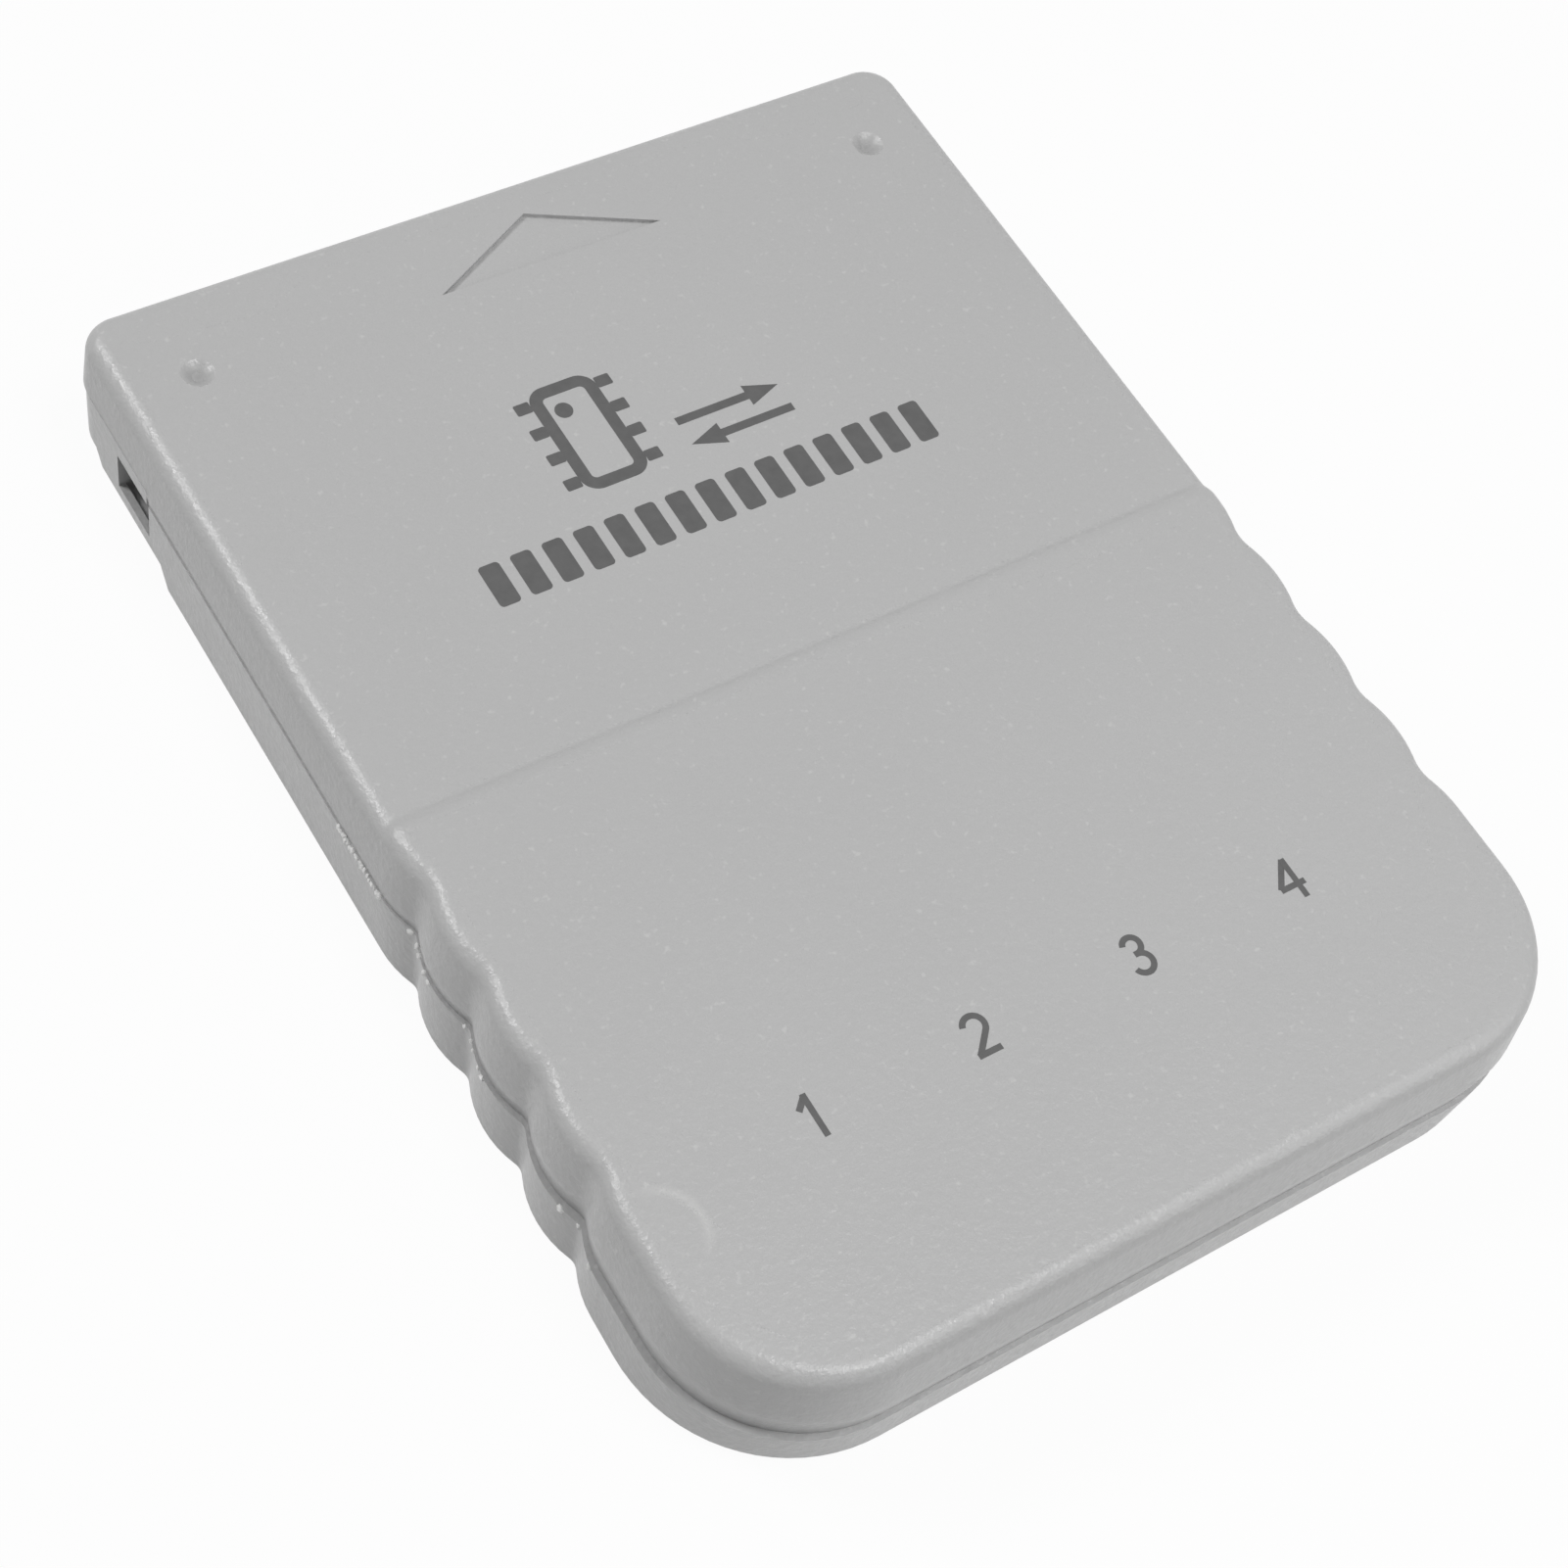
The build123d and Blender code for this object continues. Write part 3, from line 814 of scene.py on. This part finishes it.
class CARD_OT_seam_flash(Operator):
    """Slivers of flash that stand in the seam of the left flank"""

    bl_idname = "card.seam_flash"
    bl_label = "Seam flash"

    def execute(self, context):
        finish, _, seam, _ = settings()
        flank = bmesh.new()
        flank.from_mesh(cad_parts["lower_shell"].data)
        wall = BVHTree.FromBMesh(flank)
        flank.free()
        chance = random.Random(11)
        step = (FLASH_RUN[1] - FLASH_RUN[0]) / (seam.flash_count - 1)
        places = [FLASH_RUN[0] + number * step for number in range(seam.flash_count)]
        shape = bmesh.new()
        for along in (*places, *FLASH_SPOTS):
            y = (along + chance.uniform(-0.05, 0.05)) * MM
            level = seam_level(seam, y) - seam.gap
            below = Vector((2 * cad_box[0].x, y, level - 0.02 * MM))
            hit = wall.ray_cast(below, Vector((1, 0, 0)))[0]
            if hit is None:
                raise RuntimeError("the flash misses the lower shell")
            size = (
                seam.flash_height * chance.uniform(0.7, 1.2),
                seam.flash_length * chance.uniform(0.6, 1.3),
                seam.flash_height * chance.uniform(0.7, 1.3),
            )
            made = bmesh.ops.create_icosphere(shape, subdivisions=1, radius=0.5)["verts"]
            for vert in made:
                vert.co *= chance.uniform(0.7, 1.15)
            bmesh.ops.scale(shape, verts=made, vec=size)
            bmesh.ops.rotate(
                shape, verts=made, cent=(0, 0, 0), matrix=Matrix.Rotation(chance.uniform(-0.35, 0.35), 3, "X")
            )
            bmesh.ops.translate(shape, verts=made, vec=hit)
        new_piece("seam_flash", shape, torn_flash(finish))
        return {"FINISHED"}


class CARD_OT_numerals(Operator):
    """Numerals printed in a row on the grip"""

    bl_idname = "card.numerals"
    bl_label = "Numerals"

    def execute(self, context):
        finish, sizes, _, _ = settings()
        ink = pad_print_ink(finish)
        scale = sizes.numeral_height / NUMERAL_BODY
        for number, strokes in enumerate(NUMERAL_STROKES):
            shape = bmesh.new()
            # Each stroke lies a hair above the one that it crosses.
            for order, (start, heading, moves) in enumerate(strokes):
                pen_stroke(shape, start, heading, moves, sizes.numeral_weight / scale, order * sizes.film / 5)
            bmesh.ops.scale(shape, verts=shape.verts, vec=(scale, scale, 1))
            place = (sizes.numeral_start + number * sizes.numeral_pitch, sizes.numeral_y, GRIP_TOP)
            lay_print(shape, place, sizes.film)
            new_piece(f"numeral_{number + 1}", shape, ink)
        return {"FINISHED"}


class CARD_OT_gauge(Operator):
    """Row of plain gauge blocks printed on the front half"""

    bl_idname = "card.gauge"
    bl_label = "Gauge"

    def execute(self, context):
        finish, sizes, _, _ = settings()
        shape = bmesh.new()
        block = (sizes.gauge_block_width, sizes.gauge_block_height)
        for number in range(sizes.gauge_count):
            x = (number - (sizes.gauge_count - 1) / 2) * sizes.gauge_pitch
            rounded_panel(shape, (x, 0), block, 0.2 * MM)
        lay_print(shape, (sizes.gauge_x, sizes.gauge_y, FRONT_TOP), sizes.film)
        new_piece("gauge", shape, pad_print_ink(finish))
        return {"FINISHED"}


class CARD_OT_chip_sign(Operator):
    """Sign of a chip, a frame with pins and a dot, printed on the front half"""

    bl_idname = "card.chip_sign"
    bl_label = "Chip sign"

    def execute(self, context):
        finish, sizes, _, _ = settings()
        shape = bmesh.new()
        corner = 0.55 * MM
        low = (sizes.chip_line - sizes.chip_height) / 2
        side_run = sizes.chip_height - sizes.chip_line - 2 * corner
        end_run = sizes.chip_width - sizes.chip_line - 2 * corner
        round_frame = [(corner, 90), (side_run,), (corner, 90), (end_run,)] * 2
        pen_stroke(shape, (end_run / 2, low), 0, round_frame, sizes.chip_line)
        bmesh.ops.remove_doubles(shape, verts=shape.verts, dist=0.001 * MM)
        pitch = sizes.chip_height / sizes.chip_pins
        for number in range(sizes.chip_pins):
            y = (number - (sizes.chip_pins - 1) / 2) * pitch
            for side in (-1, 1):
                x = side * (sizes.chip_width + sizes.chip_pin_length) / 2
                rounded_panel(shape, (x, y), (sizes.chip_pin_length, sizes.chip_line), 0.08 * MM)
        dot = Matrix.Translation((-0.4 * MM, sizes.chip_height / 2 - 1.5 * MM, 0))
        bmesh.ops.create_circle(shape, cap_ends=True, segments=24, radius=0.42 * MM, matrix=dot)
        lay_print(shape, (sizes.chip_x, sizes.chip_y, FRONT_TOP), sizes.film)
        new_piece("chip_sign", shape, pad_print_ink(finish))
        return {"FINISHED"}


class CARD_OT_transfer_arrows(Operator):
    """Two arrows, one each way, printed on the front half"""

    bl_idname = "card.transfer_arrows"
    bl_label = "Transfer arrows"

    def execute(self, context):
        finish, sizes, _, _ = settings()
        shape = bmesh.new()
        reach = sizes.transfer_length / 2
        half_head = sizes.transfer_height / 2
        neck = reach - 1.4 * half_head * 2
        half_shaft = half_head * 0.36
        outline = [(-reach, -half_shaft), (neck, -half_shaft), (neck, -half_head), (reach, 0)]
        outline += [(x, -y) for x, y in reversed(outline[:3])]
        for side in (-1, 1):
            corners = [shape.verts.new((x, y, 0)) for x, y in outline]
            shape.faces.new(corners)
            turn = Matrix.Rotation(math.pi if side > 0 else 0, 3, "Z")
            bmesh.ops.rotate(shape, verts=corners, cent=(0, 0, 0), matrix=turn)
            bmesh.ops.translate(shape, verts=corners, vec=(0, -side * sizes.transfer_gap / 2, 0))
        lay_print(shape, (sizes.transfer_x, sizes.transfer_y, FRONT_TOP), sizes.film)
        new_piece("transfer_arrows", shape, pad_print_ink(finish))
        return {"FINISHED"}


class CARD_OT_board_finishes(Operator):
    """Finishes of the circuit board and of all that stands on it"""

    bl_idname = "card.board_finishes"
    bl_label = "Board finishes"

    def execute(self, context):
        finish = settings()[0]
        finish_nodes(["circuit_board"], masked_laminate(finish))

        # Hard gold over nickel: bright, rubbed into fine lines along the way that the card slides
        rubbed = (4, 0.25, 4)
        gold = mottled(
            "gold_flash_rubbed", (finish.gold, finish.gold_worn), 0.3, (0.18, 0.34), 1.0, 0.004, rubbed
        )
        finish_nodes(["edge_contacts"], gold)

        # Moulded epoxy: nearly black and dull, with specks of its glassy filler
        epoxy = mottled("epoxy_moulded", (finish.epoxy, finish.epoxy_filler), 0.2, (0.62, 0.5), bump_mm=0.01)
        finish_nodes(["memory_chip", "controller_chip", "regulator"], epoxy)

        # Tin over copper: soft grey metal, dulled in patches by the solder
        tin = mottled("tin_plate_soldered", (finish.tin, finish.tin_dull), 0.3, (0.26, 0.42), 1.0, 0.006)
        finish_nodes(["memory_leads", "controller_leads", "regulator_leads"], tin)

        bodies = (
            ("capacitor", "ceramic_fired", finish.ceramic, 0.5),
            ("resonator", "ceramic_fired", finish.ceramic, 0.5),
            ("resistor", "glazed_film", finish.film, 0.3),
            ("lamp", "resin_cast", finish.lens, 0.15),
        )
        for start, name, colour, roughness in bodies:
            for node in [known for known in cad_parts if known.startswith(start)]:
                finish_nodes([node], capped_body(node, f"{name}_{node}", colour, finish, roughness))
        return {"FINISHED"}


class CARD_OT_stage(Operator):
    """Pale floor, soft studio light and the camera"""

    bl_idname = "card.stage"
    bl_label = "Stage"

    def execute(self, context):
        finish, _, _, stage = settings()
        scene = context.scene
        scene.view_settings.view_transform = "Standard"

        ground = bmesh.new()
        bmesh.ops.create_grid(ground, x_segments=1, y_segments=1, size=2.0)
        mesh = bpy.data.meshes.new("floor")
        ground.to_mesh(mesh)
        ground.free()
        mesh.materials.append(pale_paper(finish, stage.floor_white))
        floor = bpy.data.objects.new("floor", mesh)
        scene.collection.objects.link(floor)

        world = bpy.data.worlds.new("even_sky")
        world.use_nodes = True
        tree = world.node_tree
        tree.nodes.clear()
        even = add_node(tree, "ShaderNodeBackground", {"Color": (1, 1, 1, 1), "Strength": stage.sky})
        clear = add_node(tree, "ShaderNodeBackground", {"Color": (1, 1, 1, 1), "Strength": 1.0})
        sky = add_node(
            tree,
            "ShaderNodeMixShader",
            {},
            {0: looked_at(tree), 1: even.outputs["Background"], 2: clear.outputs["Background"]},
        )
        add_node(tree, "ShaderNodeOutputWorld", {}, {"Surface": sky.outputs["Shader"]})
        scene.world = world

        middle = (cad_box[0] + cad_box[1]) / 2
        lamps = (
            ("key", stage.key_power, stage.key_place, stage.key_size),
            ("fill", stage.fill_power, stage.fill_place, stage.fill_size),
            ("overhead", stage.overhead_power, stage.overhead_place, stage.overhead_size),
        )
        for name, power, place, width in lamps:
            lamp = bpy.data.lights.new(name, "AREA")
            lamp.energy = power
            lamp.size = width
            holder = bpy.data.objects.new(name, lamp)
            holder.location = place
            holder.rotation_euler = (middle - holder.location).to_track_quat("-Z", "Y").to_euler()
            scene.collection.objects.link(holder)

        camera = bpy.data.objects.new("camera", bpy.data.cameras.new("camera"))
        camera.data.sensor_width = 36.0
        camera.data.lens = stage.camera_lens
        camera.data.clip_start = 1 * MM
        camera.data.clip_end = 10.0
        camera.location = stage.camera_place
        camera.rotation_euler = stage.camera_turn
        scene.collection.objects.link(camera)
        scene.camera = camera
        return {"FINISHED"}


class CARD_PT_dressing(Panel):
    """Lists the steps that dress the card"""

    bl_idname = "CARD_PT_dressing"
    bl_label = "Memory card"
    bl_space_type = "VIEW_3D"
    bl_region_type = "UI"
    bl_category = "Card"

    def draw(self, context):
        for step in STEPS:
            self.layout.operator(step.bl_idname)


STEPS = (
    CARD_OT_shell_skins,
    CARD_OT_seam_flash,
    CARD_OT_numerals,
    CARD_OT_gauge,
    CARD_OT_chip_sign,
    CARD_OT_transfer_arrows,
    CARD_OT_board_finishes,
    CARD_OT_stage,
)
GROUPS = {
    "card_finish": CardFinish,
    "card_print": CardPrint,
    "card_seam": CardSeam,
    "card_stage": CardStage,
}


def register():
    """Adds the classes and puts the groups of values on the scene."""
    for made in (*GROUPS.values(), *STEPS, CARD_PT_dressing):
        bpy.utils.register_class(made)
    for name, group in GROUPS.items():
        setattr(bpy.types.Scene, name, PointerProperty(type=group))


def unregister():
    """Takes the groups and the classes away again."""
    for name in GROUPS:
        delattr(bpy.types.Scene, name)
    for made in reversed((*GROUPS.values(), *STEPS, CARD_PT_dressing)):
        bpy.utils.unregister_class(made)


def main():
    """Dresses the card."""
    register()
    bpy.ops.card.shell_skins()
    bpy.ops.card.seam_flash()
    bpy.ops.card.numerals()
    bpy.ops.card.gauge()
    bpy.ops.card.chip_sign()
    bpy.ops.card.transfer_arrows()
    bpy.ops.card.board_finishes()
    bpy.ops.card.stage()


if __name__ == "__main__":
    main()
